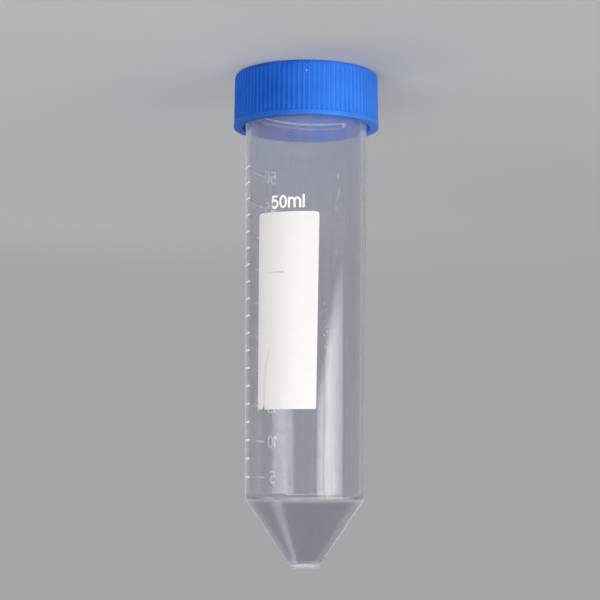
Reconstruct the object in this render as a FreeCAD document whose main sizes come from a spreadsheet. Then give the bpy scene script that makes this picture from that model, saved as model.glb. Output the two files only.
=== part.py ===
import FreeCAD, Part
import os

import Sketcher

# A 50 ml conical centrifuge tube with its ribbed screw cap.
#
# The closed tube stands on its cap. The origin is the centre of the cap's flat top, which rests
# on the ground, and +Z runs up the common axis to the tip of the cone. Lengths are millimetres.

# Driving sizes: alias, value, what it is.
SIZES = [
    ("overall_length", 120.5, "flat top of the cap to the tip of the cone, tube closed"),
    ("tube_diameter", 29.8, "outside of the tube at its mouth"),
    ("tube_draft", 0.5, "radius that the outside loses from the mouth to the shoulder"),
    ("tube_wall", 0.95, "wall of the straight body"),
    ("mouth_round", 0.3, "rounding of the mouth's outer edge"),
    ("cone_length", 16.4, "shoulder to tip, along the axis"),
    ("cone_wall", 1.3, "wall of the cone, square to its surface"),
    ("tip_diameter", 6.4, "where the cone meets the flat tip, before rounding"),
    ("tip_round", 0.6, "rounding of the tip's edge"),
    ("floor_thickness", 1.4, "plastic under the lowest point of the inside"),
    ("shoulder_round", 0.5, "rounding of the shoulder outside"),
    ("inner_round", 1.2, "rounding of the shoulder and the floor inside"),
    ("thread_lead", 4.2, "advance of the single-start thread in one turn"),
    ("thread_height", 0.7, "how far the thread stands out of the neck"),
    ("thread_root", 1.7, "width of the thread at the neck"),
    ("thread_crest", 0.8, "width of the thread at its top"),
    ("thread_turns", 1.75, "turns of thread on the neck"),
    ("thread_start", 1.45, "mouth to the middle of the thread's first end"),
    ("thread_angle", 230.0, "direction of the thread's first end, from +X"),
    ("thread_clearance", 0.15, "play between the thread's crest and the cap's bore"),
    ("cap_height", 13.4, "flat top of the cap to the rim of its skirt"),
    ("cap_top_thickness", 1.7, "plastic over the mouth"),
    ("skirt_wall", 2.0, "crest of the ribs to the bore, near the rim"),
    ("skirt_draft", 0.15, "radius that the ribs' crest loses from the rim to the top"),
    ("cap_edge_round", 1.3, "rounding between the skirt and the flat top"),
    ("band_height", 1.1, "plain band below the ribs"),
    ("band_step", 0.1, "how far the band stands out from the ribs' crest"),
    ("rim_chamfer", 0.25, "edge broken round the skirt's rim"),
    ("rib_count", 90, "ribs round the skirt"),
    ("valley_radius", 0.45, "round valley between two ribs"),
    ("valley_depth", 0.36, "how deep a valley cuts below the crest"),
    ("seal_height", 2.4, "plug ring that enters the mouth"),
    ("seal_wall", 0.9, "plug ring at its root"),
    ("seal_taper", 0.35, "how much the plug ring's outside leans in at its end"),
    ("seal_clearance", 0.06, "play between the plug ring and the mouth"),
]

# Sizes worked out from the driving ones.
DERIVED = [
    ("mouth_radius", "=Sizes.tube_diameter / 2"),
    ("mouth_bore_radius", "=mouth_radius - Sizes.tube_wall"),
    ("shoulder_radius", "=mouth_radius - Sizes.tube_draft"),
    ("shoulder_level", "=Sizes.overall_length - Sizes.cone_length"),
    ("tip_radius", "=Sizes.tip_diameter / 2"),
    ("cone_angle", "=atan((shoulder_radius - tip_radius) / Sizes.cone_length)"),
    ("floor_level", "=Sizes.overall_length - Sizes.floor_thickness"),
    ("floor_radius",
     "=tip_radius + Sizes.floor_thickness * tan(cone_angle) - Sizes.cone_wall / cos(cone_angle)"),
    ("inner_shoulder_radius", "=shoulder_radius - Sizes.tube_wall"),
    ("inner_shoulder_level",
     "=shoulder_level - (Sizes.cone_wall - Sizes.tube_wall * cos(cone_angle)) / sin(cone_angle)"),
    ("bore_radius", "=mouth_radius + Sizes.thread_height + Sizes.thread_clearance"),
    ("crest_radius", "=bore_radius + Sizes.skirt_wall"),
    ("band_radius", "=crest_radius + Sizes.band_step"),
    ("top_radius", "=crest_radius - Sizes.skirt_draft"),
    ("band_level", "=Sizes.cap_height - Sizes.band_height"),
    ("seal_radius", "=mouth_bore_radius - Sizes.seal_clearance"),
    ("seal_bore_radius", "=seal_radius - Sizes.seal_wall"),
    ("seal_level", "=Sizes.cap_top_thickness + Sizes.seal_height"),
    ("thread_level", "=Sizes.cap_top_thickness + Sizes.thread_start"),
]

THREAD_OVERLAP = 0.2  # how far the thread's section reaches into the neck, so that the two fuse


def make_sheet(doc, name, rows):
    """Fill a spreadsheet with one aliased value per row."""
    sheet = doc.addObject("Spreadsheet::Sheet", name)
    for number, row in enumerate(rows, start=1):
        sheet.set(f"A{number}", row[0])
        sheet.set(f"B{number}", str(row[1]))
        sheet.setAlias(f"B{number}", row[0])
        if len(row) > 2:
            sheet.set(f"C{number}", row[2])
    doc.recompute()
    return sheet


def new_body(doc, label):
    """Add an empty body whose label names the piece."""
    body = doc.addObject("PartDesign::Body", label)
    body.Label = label
    return body


def origin_part(body, role):
    """Find one of the body's own origin planes or axes."""
    return next(part for part in body.Origin.OriginFeatures if part.Role == role)


def new_sketch(body, name, plane):
    """Start a sketch on one of the body's origin planes."""
    sketch = body.newObject("Sketcher::SketchObject", name)
    sketch.AttachmentSupport = [(origin_part(body, plane), "")]
    sketch.MapMode = "FlatFace"
    return sketch


def tie(sketch, kind, place, expression, axis_line):
    """Hold one coordinate of a point to an expression, or to the axis where it is zero."""
    value = float(sketch.evalExpression(expression))
    if value == 0:
        sketch.addConstraint(Sketcher.Constraint("PointOnObject", *place, axis_line))
        return
    index = sketch.addConstraint(Sketcher.Constraint(kind, -1, 1, *place, value))
    sketch.setExpression(f"Constraints[{index}]", expression)


def draw_outline(sketch, corners):
    """Draw a closed outline through corners given as pairs of expressions: across, up."""
    points = [
        FreeCAD.Vector(float(sketch.evalExpression(across)), float(sketch.evalExpression(up)), 0)
        for across, up in corners
    ]
    for index, point in enumerate(points):
        sketch.addGeometry(Part.LineSegment(point, points[(index + 1) % len(points)]), False)
    for index in range(len(points)):
        following = (index + 1) % len(points)
        sketch.addConstraint(Sketcher.Constraint("Coincident", index, 2, following, 1))
    for index, (across, up) in enumerate(corners):
        tie(sketch, "DistanceX", (index, 1), across, -2)
        tie(sketch, "DistanceY", (index, 1), up, -1)


def revolve(body, name, corners):
    """Turn a closed outline of radii and levels once round the body's Z axis."""
    sketch = new_sketch(body, f"{name}Outline", "XZ_Plane")
    draw_outline(sketch, corners)
    turned = body.newObject("PartDesign::Revolution", name)
    turned.Profile = sketch
    turned.ReferenceAxis = (sketch, ["V_Axis"])
    turned.Angle = 360
    body.Document.recompute()
    return turned


def round_ring(body, name, kind, size, radius, level):
    """Round or chamfer the circular edge of the body's tip at a radius and a level."""
    base = body.Tip
    rim_radius = float(base.evalExpression(radius))
    rim_level = float(base.evalExpression(level))
    edges = [
        f"Edge{number}"
        for number, edge in enumerate(base.Shape.Edges, start=1)
        if isinstance(edge.Curve, Part.Circle)
        and abs(edge.Curve.Radius - rim_radius) < 1e-4
        and abs(edge.Curve.Center.z - rim_level) < 1e-4
    ]
    if not edges:
        raise RuntimeError(f"{name}: no ring of radius {rim_radius} at level {rim_level}")
    feature = body.newObject(f"PartDesign::{kind}", name)
    feature.Base = (base, edges)
    feature.setExpression("Radius" if kind == "Fillet" else "Size", size)
    body.Document.recompute()
    return feature


def add_thread(body):
    """Wind the right-handed thread round the neck, from near the mouth towards the cone."""
    sketch = new_sketch(body, "ThreadSection", "XZ_Plane")
    sketch.AttachmentOffset = FreeCAD.Placement(
        FreeCAD.Vector(0, 0, 0),
        FreeCAD.Rotation(FreeCAD.Vector(0, 1, 0), float(body.evalExpression("Sizes.thread_angle"))),
    )
    inside = f"Derived.mouth_radius - {THREAD_OVERLAP}"
    crest = "Derived.mouth_radius + Sizes.thread_height"
    draw_outline(sketch, [
        (inside, "Derived.thread_level - Sizes.thread_root / 2"),
        (crest, "Derived.thread_level - Sizes.thread_crest / 2"),
        (crest, "Derived.thread_level + Sizes.thread_crest / 2"),
        (inside, "Derived.thread_level + Sizes.thread_root / 2"),
    ])
    thread = body.newObject("PartDesign::AdditiveHelix", "Thread")
    thread.Profile = sketch
    thread.ReferenceAxis = (origin_part(body, "Z_Axis"), [""])
    thread.Mode = "pitch-turns-angle"
    thread.setExpression("Pitch", "Sizes.thread_lead")
    thread.setExpression("Turns", "Sizes.thread_turns")
    thread.LeftHanded = False
    body.Document.recompute()
    return thread


def make_tube(doc):
    """Mould the tube: a drafted body on a cone, open at the threaded neck."""
    body = new_body(doc, "tube")
    revolve(body, "Wall", [
        ("Derived.mouth_bore_radius", "Sizes.cap_top_thickness"),
        ("Derived.mouth_radius", "Sizes.cap_top_thickness"),
        ("Derived.shoulder_radius", "Derived.shoulder_level"),
        ("Derived.tip_radius", "Sizes.overall_length"),
        ("0", "Sizes.overall_length"),
        ("0", "Derived.floor_level"),
        ("Derived.floor_radius", "Derived.floor_level"),
        ("Derived.inner_shoulder_radius", "Derived.inner_shoulder_level"),
    ])
    rings = [
        ("TipRound", "Sizes.tip_round", "Derived.tip_radius", "Sizes.overall_length"),
        ("ShoulderRound", "Sizes.shoulder_round", "Derived.shoulder_radius", "Derived.shoulder_level"),
        ("MouthRound", "Sizes.mouth_round", "Derived.mouth_radius", "Sizes.cap_top_thickness"),
        ("InnerShoulderRound", "Sizes.inner_round", "Derived.inner_shoulder_radius",
         "Derived.inner_shoulder_level"),
        ("FloorRound", "Sizes.inner_round", "Derived.floor_radius", "Derived.floor_level"),
    ]
    for name, size, radius, level in rings:
        round_ring(body, name, "Fillet", size, radius, level)
    add_thread(body)
    return body


def cut_valleys(body):
    """Cut one round valley down the skirt, following its draft, and repeat it all the way round."""
    sections = []
    levels = [("ValleyTop", "0", "Derived.top_radius"),
              ("ValleyEnd", "Derived.band_level", "Derived.crest_radius")]
    for name, level, crest in levels:
        sketch = new_sketch(body, name, "XY_Plane")
        sketch.setExpression("AttachmentOffset.Base.z", level)
        centre = f"{crest} + Sizes.valley_radius - Sizes.valley_depth"
        radius = float(sketch.evalExpression("Sizes.valley_radius"))
        middle = FreeCAD.Vector(float(sketch.evalExpression(centre)), 0, 0)
        sketch.addGeometry(Part.Circle(middle, FreeCAD.Vector(0, 0, 1), radius), False)
        size = sketch.addConstraint(Sketcher.Constraint("Radius", 0, radius))
        sketch.setExpression(f"Constraints[{size}]", "Sizes.valley_radius")
        tie(sketch, "DistanceX", (0, 3), centre, -2)
        tie(sketch, "DistanceY", (0, 3), "0", -1)
        sections.append(sketch)
    valley = body.newObject("PartDesign::SubtractiveLoft", "Valley")
    valley.Profile = sections[0]
    valley.Sections = [sections[1]]
    valley.Ruled = True
    body.Document.recompute()

    ring = body.newObject("PartDesign::PolarPattern", "Valleys")
    ring.Originals = [valley]
    ring.Axis = (origin_part(body, "Z_Axis"), [""])
    ring.Angle = 360
    ring.setExpression("Occurrences", "Sizes.rib_count")
    body.Tip = ring
    body.Document.recompute()
    return ring


def make_cap(doc):
    """Mould the cap: a flat top, a ribbed skirt and a plug ring that seals the mouth."""
    body = new_body(doc, "cap")
    revolve(body, "Wall", [
        ("0", "0"),
        ("Derived.top_radius", "0"),
        ("Derived.crest_radius", "Derived.band_level"),
        ("Derived.band_radius", "Derived.band_level + Sizes.band_step"),
        ("Derived.band_radius", "Sizes.cap_height"),
        ("Derived.bore_radius", "Sizes.cap_height"),
        ("Derived.bore_radius", "Sizes.cap_top_thickness"),
        ("Derived.seal_radius", "Sizes.cap_top_thickness"),
        ("Derived.seal_radius - Sizes.seal_taper", "Derived.seal_level"),
        ("Derived.seal_bore_radius", "Derived.seal_level"),
        ("Derived.seal_bore_radius", "Sizes.cap_top_thickness"),
        ("0", "Sizes.cap_top_thickness"),
    ])
    round_ring(body, "TopRound", "Fillet", "Sizes.cap_edge_round", "Derived.top_radius", "0")
    for name, radius in (("RimOutside", "Derived.band_radius"), ("RimInside", "Derived.bore_radius")):
        round_ring(body, name, "Chamfer", "Sizes.rim_chamfer", radius, "Sizes.cap_height")
    whole = body.Tip.Shape.Volume
    if cut_valleys(body).Shape.Volume >= whole:
        raise RuntimeError("the valleys between the ribs cut nothing")
    return body


def check(doc, bodies):
    """Stop if any object failed or any piece is not one valid closed solid."""
    for item in doc.Objects:
        if "Invalid" in item.State or "Error" in item.State:
            raise RuntimeError(f"{item.Label} failed: {item.State}")
    for body in bodies:
        shape = body.Shape
        if shape.isNull() or not shape.isValid() or len(shape.Solids) != 1:
            raise RuntimeError(f"{body.Label} is not one valid solid")


def main():
    """Build both pieces and write each to its own file."""
    doc = FreeCAD.newDocument("ConicalTube")
    make_sheet(doc, "Sizes", SIZES)
    make_sheet(doc, "Derived", DERIVED)
    bodies = [make_cap(doc), make_tube(doc)]
    doc.recompute()
    check(doc, bodies)
    os.makedirs("parts", exist_ok=True)
    for body in bodies:
        body.Shape.exportStep(f"parts/{body.Label}.step")
        box = body.Shape.optimalBoundingBox(False, False)
        print(f"{body.Label}: volume {body.Shape.Volume:.1f}, levels {box.ZMin:.2f} to {box.ZMax:.2f}, "
              f"width {box.XLength:.2f}")


main()
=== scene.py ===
"""Looks of a 50 ml conical tube that stands on its ribbed screw cap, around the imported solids.

Lengths are metres in the shared frame. The origin is the centre of the cap's flat top, +Z runs up the
common axis to the tip of the cone, and the printed side faces -Y. A turn is an angle round the axis,
in degrees, from the printed front towards -X, which is how the writing reads.
"""

import logging
import math
from collections.abc import Callable, Mapping, Sequence
from dataclasses import dataclass
from enum import Enum

import bmesh
import bpy
from mathutils import Matrix, Vector
from mathutils.geometry import delaunay_2d_cdt


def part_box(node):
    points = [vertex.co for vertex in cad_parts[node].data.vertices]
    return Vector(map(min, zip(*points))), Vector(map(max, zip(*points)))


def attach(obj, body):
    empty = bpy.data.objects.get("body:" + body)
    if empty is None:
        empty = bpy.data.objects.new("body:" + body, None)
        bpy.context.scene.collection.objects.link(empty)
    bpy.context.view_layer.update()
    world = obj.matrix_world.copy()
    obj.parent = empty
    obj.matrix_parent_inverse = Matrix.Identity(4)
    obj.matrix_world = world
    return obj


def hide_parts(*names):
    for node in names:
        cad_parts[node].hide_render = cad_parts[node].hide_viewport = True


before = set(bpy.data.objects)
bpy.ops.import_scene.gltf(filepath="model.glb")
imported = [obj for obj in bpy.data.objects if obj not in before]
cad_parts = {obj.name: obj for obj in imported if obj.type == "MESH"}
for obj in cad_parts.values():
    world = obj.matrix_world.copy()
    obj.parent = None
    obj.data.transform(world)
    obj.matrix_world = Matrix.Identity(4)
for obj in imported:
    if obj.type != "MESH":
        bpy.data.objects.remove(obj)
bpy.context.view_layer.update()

MM = 0.001
LOG = logging.getLogger("conical_tube")

Flat = tuple[float, float]
Place = tuple[float, float, float]
Colour = tuple[float, float, float]


def around(turn: float, radius: float, level: float) -> Vector:
    """Find a point by its turn in degrees, its radius and its level."""
    angle = math.radians(turn)
    return Vector((-radius * math.sin(angle), -radius * math.cos(angle), level))


def smooth(value: float) -> float:
    """Ease a value from 0 to 1, flat at both ends."""
    held = min(max(value, 0.0), 1.0)
    return held * held * (3 - 2 * held)


def mixed(low: float, high: float, share: float) -> float:
    """Blend two numbers, low at share 0 and high at share 1."""
    return low + (high - low) * share


def linked(name: str, data: bpy.types.ID) -> bpy.types.Object:
    """Make an object and link it to the scene.

    Args:
        name: The object's name.
        data: Its mesh, lamp or camera.

    Returns:
        The new object.
    """
    made = bpy.data.objects.new(name, data)
    bpy.context.scene.collection.objects.link(made)
    return made


class Plastic(Enum):
    """The record's material slots."""

    TUBE = "tube_plastic"
    CAP = "cap_plastic"
    PRINT = "print_white"


# ---------------------------------------------------------------- shaders


class Signal:
    """A shader socket that takes part in Python arithmetic, adding a Math node for each operation."""

    def __init__(self, shader: "Shader", socket: "bpy.types.NodeSocket | None") -> None:
        """Keep a socket and the shader that it belongs to."""
        self.shader = shader
        self.socket = socket

    def math(self, operation: str, *values: "Signal | float") -> "Signal":
        """Add a Math node of any operation, in whose sockets the values follow this signal."""
        inputs = dict(enumerate((self, *values)))
        return self.shader.add("ShaderNodeMath", {"operation": operation}, inputs)

    def __add__(self, other: "Signal | float") -> "Signal":
        """Add a number or another signal."""
        return self.math("ADD", other)

    def __radd__(self, other: "Signal | float") -> "Signal":
        """Add this signal to a number."""
        return self.math("ADD", other)

    def __sub__(self, other: "Signal | float") -> "Signal":
        """Take away a number or another signal."""
        return self.math("SUBTRACT", other)

    def __rsub__(self, other: float) -> "Signal":
        """Take this signal away from a number."""
        return self.math("MULTIPLY", -1.0).math("ADD", other)

    def __mul__(self, other: "Signal | float") -> "Signal":
        """Multiply by a number or another signal."""
        return self.math("MULTIPLY", other)

    def __rmul__(self, other: "Signal | float") -> "Signal":
        """Multiply a number by this signal."""
        return self.math("MULTIPLY", other)

    def __pow__(self, other: float) -> "Signal":
        """Raise to a power."""
        return self.math("POWER", other)

    def __abs__(self) -> "Signal":
        """Drop the sign."""
        return self.math("ABSOLUTE")

    def rise(self, low: "Signal | float", high: "Signal | float") -> "Signal":
        """Ease from 0 to 1 as this signal goes from one value to another.

        Args:
            low: Where the result leaves 0.
            high: Where the result reaches 1.

        Returns:
            The eased signal.
        """
        settings = {"interpolation_type": "SMOOTHSTEP"}
        inputs = {"Value": self, "From Min": low, "From Max": high}
        return self.shader.add("ShaderNodeMapRange", settings, inputs)


class Shader:
    """The nodes of one material, of a lamp or of the world, under construction."""

    def __init__(self, owner: "bpy.types.Material | bpy.types.Light | bpy.types.World") -> None:
        """Start with an empty set of nodes.

        Args:
            owner: The material, lamp or world that the nodes belong to.
        """
        self.owner = owner
        owner.use_nodes = True
        self.tree = owner.node_tree
        self.tree.nodes.clear()

    @classmethod
    def material(cls, name: str) -> "Shader":
        """Start a new material."""
        return cls(bpy.data.materials.new(name))

    def add(
        self, kind: str, settings: Mapping[str, object], inputs: Mapping[object, object], output: object = 0
    ) -> Signal:
        """Add a node of any type.

        Args:
            kind: The node's type.
            settings: Its own settings, such as a Math node's operation, which are set first.
            inputs: A value or a Signal for each socket, by name or number.
            output: The socket to read, by name or number.

        Returns:
            The signal of that output, or of the node's first one.
        """
        node = self.tree.nodes.new(kind)
        for key, value in settings.items():
            setattr(node, key, value)
        for key, value in inputs.items():
            if isinstance(value, Signal):
                self.tree.links.new(value.socket, node.inputs[key])
            else:
                node.inputs[key].default_value = value
        return Signal(self, node.outputs[output]) if node.outputs else Signal(self, None)

    def place(self) -> Signal:
        """Read the point on the surface in the shared frame."""
        return self.add("ShaderNodeTexCoord", {}, {}, "Object")

    def axis(self, point: Signal, name: str) -> Signal:
        """Read one coordinate of a point, by its letter."""
        return self.add("ShaderNodeSeparateXYZ", {}, {"Vector": point}, name)

    def reach(self, point: Signal) -> Signal:
        """Find a point's distance from the common axis."""
        across, along = self.axis(point, "X"), self.axis(point, "Y")
        return (across * across + along * along) ** 0.5

    def turn(self, point: Signal) -> Signal:
        """Find a point's turn round the common axis, in radians."""
        return (self.axis(point, "X") * -1.0).math("ARCTAN2", self.axis(point, "Y") * -1.0)

    def stretch(self, point: Signal, scale: Place, tilt: float = 0.0) -> Signal:
        """Scale a point along each axis, after a tilt about X and Y in radians."""
        inputs = {"Vector": point, "Scale": scale, "Rotation": (tilt, tilt, 0.0)}
        return self.add("ShaderNodeMapping", {"vector_type": "POINT"}, inputs)

    def noise(self, point: Signal, detail: float, scale: float = 1.0) -> Signal:
        """Sample soft noise between about 0.25 and 0.75."""
        inputs = {"Vector": point, "Scale": scale, "Detail": detail, "Roughness": 0.55}
        return self.add("ShaderNodeTexNoise", {"normalize": True}, inputs, "Fac")

    def blend(self, share: Signal, first: "Signal | Colour", second: "Signal | Colour") -> Signal:
        """Mix two colours.

        Args:
            share: How much of the second colour shows, from 0 to 1.
            first: The colour at share 0.
            second: The colour at share 1.

        Returns:
            The mixed colour.
        """
        ends = [value if isinstance(value, Signal) else (*value, 1.0) for value in (first, second)]
        inputs = {"Factor": share, 6: ends[0], 7: ends[1]}
        return self.add("ShaderNodeMix", {"data_type": "RGBA", "clamp_factor": True}, inputs, 2)

    def bump(self, height: Signal, distance: float) -> Signal:
        """Turn a height signal into a normal; distance is the height of 1 in metres."""
        return self.add("ShaderNodeBump", {}, {"Height": height, "Distance": distance, "Strength": 1.0})

    def mix_shaders(self, share: "Signal | float", first: Signal, second: Signal) -> Signal:
        """Mix two shaders, first at share 0 and second at share 1."""
        return self.add("ShaderNodeMixShader", {}, {0: share, 1: first, 2: second})

    def seen(self) -> Signal:
        """Find the rays that show the background.

        Returns:
            1 for camera, glossy and transmission rays, and 0 for the others.
        """
        rays = ("Is Camera Ray", "Is Glossy Ray", "Is Transmission Ray")
        first, *others = (self.add("ShaderNodeLightPath", {}, {}, ray) for ray in rays)
        for other in others:
            first = first.math("MAXIMUM", other)
        return first

    def for_lamps(self, surface: Signal, share: Colour) -> Signal:
        """Let some of the lamps' light through a surface that shadow rays would stop at.

        Args:
            surface: The surface as other rays meet it.
            share: How much light of each colour passes.

        Returns:
            The surface for all rays.
        """
        shadow = self.add("ShaderNodeLightPath", {}, {}, "Is Shadow Ray")
        passing = self.add("ShaderNodeBsdfTransparent", {}, {"Color": (*share, 1.0)})
        return self.mix_shaders(shadow, surface, passing)

    def finish(self, surface: Signal) -> bpy.types.Material:
        """Send the surface to the output and return the finished material."""
        self.add("ShaderNodeOutputMaterial", {}, {"Surface": surface})
        return self.owner


@dataclass(frozen=True)
class HandlingMarks:
    """Wear on the tube's wall: a wandering scrape, a patch of flecks and a few thin scratches.

    Turns and the flecks' spread are in degrees, the scrape's edge in radians. A size is how often a
    noise repeats in a metre, along each axis or along all three, and a share is the pair of its values
    between which a mark comes in. A scratch run has a tilt in radians, a size across the scratches
    and the share of it along them.
    """

    scrape_turn: float = 30.0
    scrape_wander: float = 26.0
    scrape_levels: Flat = (22.0 * MM, 37.0 * MM)
    scrape_fades: Flat = (2.0 * MM, 3.0 * MM)
    scrape_edge: Flat = (0.002, 0.014)
    wander_size: Place = (30.0, 30.0, 190.0)
    broken_size: Place = (90.0, 90.0, 500.0)
    broken_share: Flat = (0.44, 0.60)
    fleck_turn: float = 20.0
    fleck_spread: Flat = (3.0, 7.0)
    fleck_level: float = 64.0 * MM
    fleck_reach: Flat = (3.0 * MM, 10.0 * MM)
    fleck_size: float = 1500.0
    fleck_share: Flat = (0.60, 0.68)
    scratch_runs: tuple[Place, ...] = ((0.10, 150.0, 0.035), (-0.16, 190.0, 0.05), (1.25, 120.0, 0.06))
    scratch_edge: float = 0.004
    scratch_patch_size: Place = (95.0, 95.0, 45.0)
    scratch_patch_share: Flat = (0.56, 0.66)
    scratch_fade: float = 9.0 * MM

    def rubs(self, shader: Shader, place: Signal) -> Signal:
        """Rub the wall beside the print: one wandering scrape near the cap and a patch of flecks.

        Args:
            shader: The material under construction.
            place: The point on the surface.

        Returns:
            1 where the surface is rubbed white and 0 elsewhere.
        """
        level = shader.axis(place, "Z")
        turn = shader.turn(place)
        low, high = self.scrape_levels
        start, end = self.scrape_fades
        wander = shader.noise(shader.stretch(place, self.wander_size), 2.0)
        middle = (wander - 0.5) * math.radians(self.scrape_wander) + math.radians(self.scrape_turn)
        height = level.rise(low, low + start) * (1 - level.rise(high - end, high))
        broken = shader.noise(shader.stretch(place, self.broken_size), 1.0).rise(*self.broken_share)
        scrape = (1 - abs(turn - middle).rise(*self.scrape_edge)) * height * broken
        aside = abs(turn - math.radians(self.fleck_turn))
        beside = 1 - aside.rise(*(math.radians(angle) for angle in self.fleck_spread))
        below = 1 - abs(level - self.fleck_level).rise(*self.fleck_reach)
        flecks = shader.noise(place, 2.0, self.fleck_size).rise(*self.fleck_share) * beside * below
        return scrape.math("MAXIMUM", flecks)

    def scratches(self, shader: Shader, place: Signal, end: float) -> Signal:
        """Draw a few thin handling scratches.

        Args:
            shader: The material under construction.
            place: The point on the surface.
            end: The level that they fade away below.

        Returns:
            1 on a scratch and 0 elsewhere.
        """
        fine = None
        for tilt, size, stretch in self.scratch_runs:
            grain = shader.noise(shader.stretch(place, (size, size, size * stretch), tilt), 0.0)
            line = 1 - abs(grain - 0.5).rise(0.0, self.scratch_edge)
            fine = fine.math("MAXIMUM", line) if fine else line
        patches = shader.noise(shader.stretch(place, self.scratch_patch_size), 1.0)
        patches = patches.rise(*self.scratch_patch_share)
        below = 1 - shader.axis(place, "Z").rise(end - self.scratch_fade, end)
        return fine * patches * below


@dataclass(frozen=True)
class MilkyFinish:
    """Moulded polypropylene: clear enough to read through, with a milky haze under its outside.

    A haze is how much milkiness a feature of the tube adds, and a span the pair of lengths between
    which it or a tint comes in or fades away. Thick and ring spans count from the shoulder, the foot's
    from the tip, and those of outside, flank and crest stand out from the plain wall. A size is how
    often a noise repeats in a metre, along each axis or along all three. Some colour is painted light:
    the blue tint near the cap stands in for the cap's blue light, the paler neck for light coming
    through the cap, and the white thread flanks are painted glints.
    """

    tube: "TubeBody"
    tint: Colour = (0.878, 0.882, 0.925)
    # painted light: the wall's blue tint near the cap stands in for the cap's blue light
    cap_light_paint: Colour = (0.822, 0.848, 0.940)
    cone_tint: Colour = (0.732, 0.728, 0.784)
    streak: float = 0.94
    streak_flow: float = 0.6
    streak_share: Flat = (0.40, 0.60)
    haze: Colour = (0.50, 0.505, 0.565)
    pale: Colour = (0.92, 0.93, 0.96)
    haze_share: float = 0.095
    inner_share: float = 0.01
    # milkier, paler neck inside the cap: partly haze, partly painted light coming through the cap
    neck_light_haze: float = 0.11
    ring_haze: float = 0.22
    foot_haze: float = 0.30
    # white thread flanks: frosted haze made white as painted glints
    flank_glint_haze: float = 1.10
    flow_haze: float = 0.26
    line_haze: float = 0.16
    cloud_haze: float = 0.12
    scratch_haze: float = 0.12
    speck_haze: float = 0.14
    rub_haze: float = 0.38
    thick_haze: float = -0.04
    pale_gain: float = 4.0
    neck_span: Flat = (16.0 * MM, 20.0 * MM)
    # where the painted blue light of the cap fades away up the wall
    cap_light_paint_span: Flat = (16.0 * MM, 44.0 * MM)
    thick_span: Flat = (-0.5 * MM, 1.5 * MM)
    ring_span: Flat = (0.3 * MM, 1.0 * MM)
    foot_span: Flat = (-1.9 * MM, -0.9 * MM)
    outside_span: Flat = (-0.6 * MM, -0.3 * MM)
    flank_span: Flat = (0.12 * MM, 0.25 * MM)
    crest_span: Flat = (0.48 * MM, 0.62 * MM)
    through: float = 0.5
    flank_through: float = 0.4
    shine: float = 0.035
    cloud_rough: float = 0.03
    scratch_rough: float = 0.2
    thick_rough: float = 0.08
    sheen: float = 1.0
    sheen_rough: float = 0.30
    bend: float = 1.49
    shade: Colour = (0.985, 0.985, 0.988)
    flow_size: Place = (230.0, 230.0, 14.0)
    line_size: Place = (760.0, 760.0, 16.0)
    swell_size: Place = (95.0, 95.0, 22.0)
    swell_height: float = 0.04 * MM
    cloud_size: float = 60.0
    speck_size: float = 2600.0
    speck_share: Flat = (0.66, 0.74)
    marks: HandlingMarks = HandlingMarks()

    def depth(self, shader: Shader, place: Signal) -> Signal:
        """Measure how far a point stands out from the tube's plain outside.

        Args:
            shader: The material under construction.
            place: The point on the surface.

        Returns:
            Metres: about 0 on the outside, and less than 0 on the inside.
        """
        tube = self.tube
        level = shader.axis(place, "Z")
        radius = shader.reach(place)
        draft = tube.draft / (tube.shoulder - tube.seat)
        body = radius + level * draft - (tube.mouth_radius + tube.seat * draft)
        corner = tube.radius(tube.shoulder)
        slope = (corner - tube.tip_radius) / tube.cone_length
        cone = (radius + level * slope - (corner + tube.shoulder * slope)) * math.cos(math.atan(slope))
        return body.math("MAXIMUM", cone)

    def material(self) -> bpy.types.Material:
        """Build the tube's material.

        Returns:
            The new material.
        """
        shader = Shader.material("milky_polypropylene")
        place = shader.place()
        flow = shader.noise(shader.stretch(place, self.flow_size), 3.0)
        lines = shader.noise(shader.stretch(place, self.line_size), 1.0)
        cloud = shader.noise(place, 2.0, self.cloud_size)
        speck = shader.noise(place, 1.0, self.speck_size).rise(*self.speck_share)
        scratch = self.marks.scratches(shader, place, self.tube.shoulder)
        rub = self.marks.rubs(shader, place)
        level = shader.axis(place, "Z")
        cone, tip = self.tube.shoulder, self.tube.tip
        thick = level.rise(*(cone + step for step in self.thick_span))
        ring = 1 - abs(level - cone).rise(*self.ring_span)
        foot = level.rise(*(tip + step for step in self.foot_span))
        neck = 1 - level.rise(*self.neck_span)
        depth = self.depth(shader, place)
        outside = depth.rise(*self.outside_span)
        # the thread's flanks, which get painted glints
        flank = depth.rise(*self.flank_span) * (1 - depth.rise(*self.crest_span))
        # milky holds the haze, with painted light on the neck and painted glints on the thread flanks
        milky = neck * self.neck_light_haze + ring * self.ring_haze
        milky = milky + foot * self.foot_haze + flank * self.flank_glint_haze
        mottled = (flow - 0.5) * self.flow_haze + (lines - 0.5) * self.line_haze
        mottled = mottled + (cloud - 0.5) * self.cloud_haze + speck * self.speck_haze
        worn = scratch * self.scratch_haze + rub * self.rub_haze
        share = mottled + worn + milky + thick * self.thick_haze + self.haze_share
        share = share * outside + self.inner_share
        roughness = (cloud - 0.5) * self.cloud_rough + scratch * self.scratch_rough
        roughness = roughness + thick * self.thick_rough + self.shine
        swell = shader.noise(shader.stretch(place, self.swell_size), 1.0)
        normal = shader.bump(swell, self.swell_height)
        streaks = (flow * self.streak_flow + lines * (1 - self.streak_flow)).rise(*self.streak_share)
        colour = shader.blend(streaks, self.tint, tuple(part * self.streak for part in self.tint))
        colour = shader.blend(thick, colour, self.cone_tint)
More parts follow.
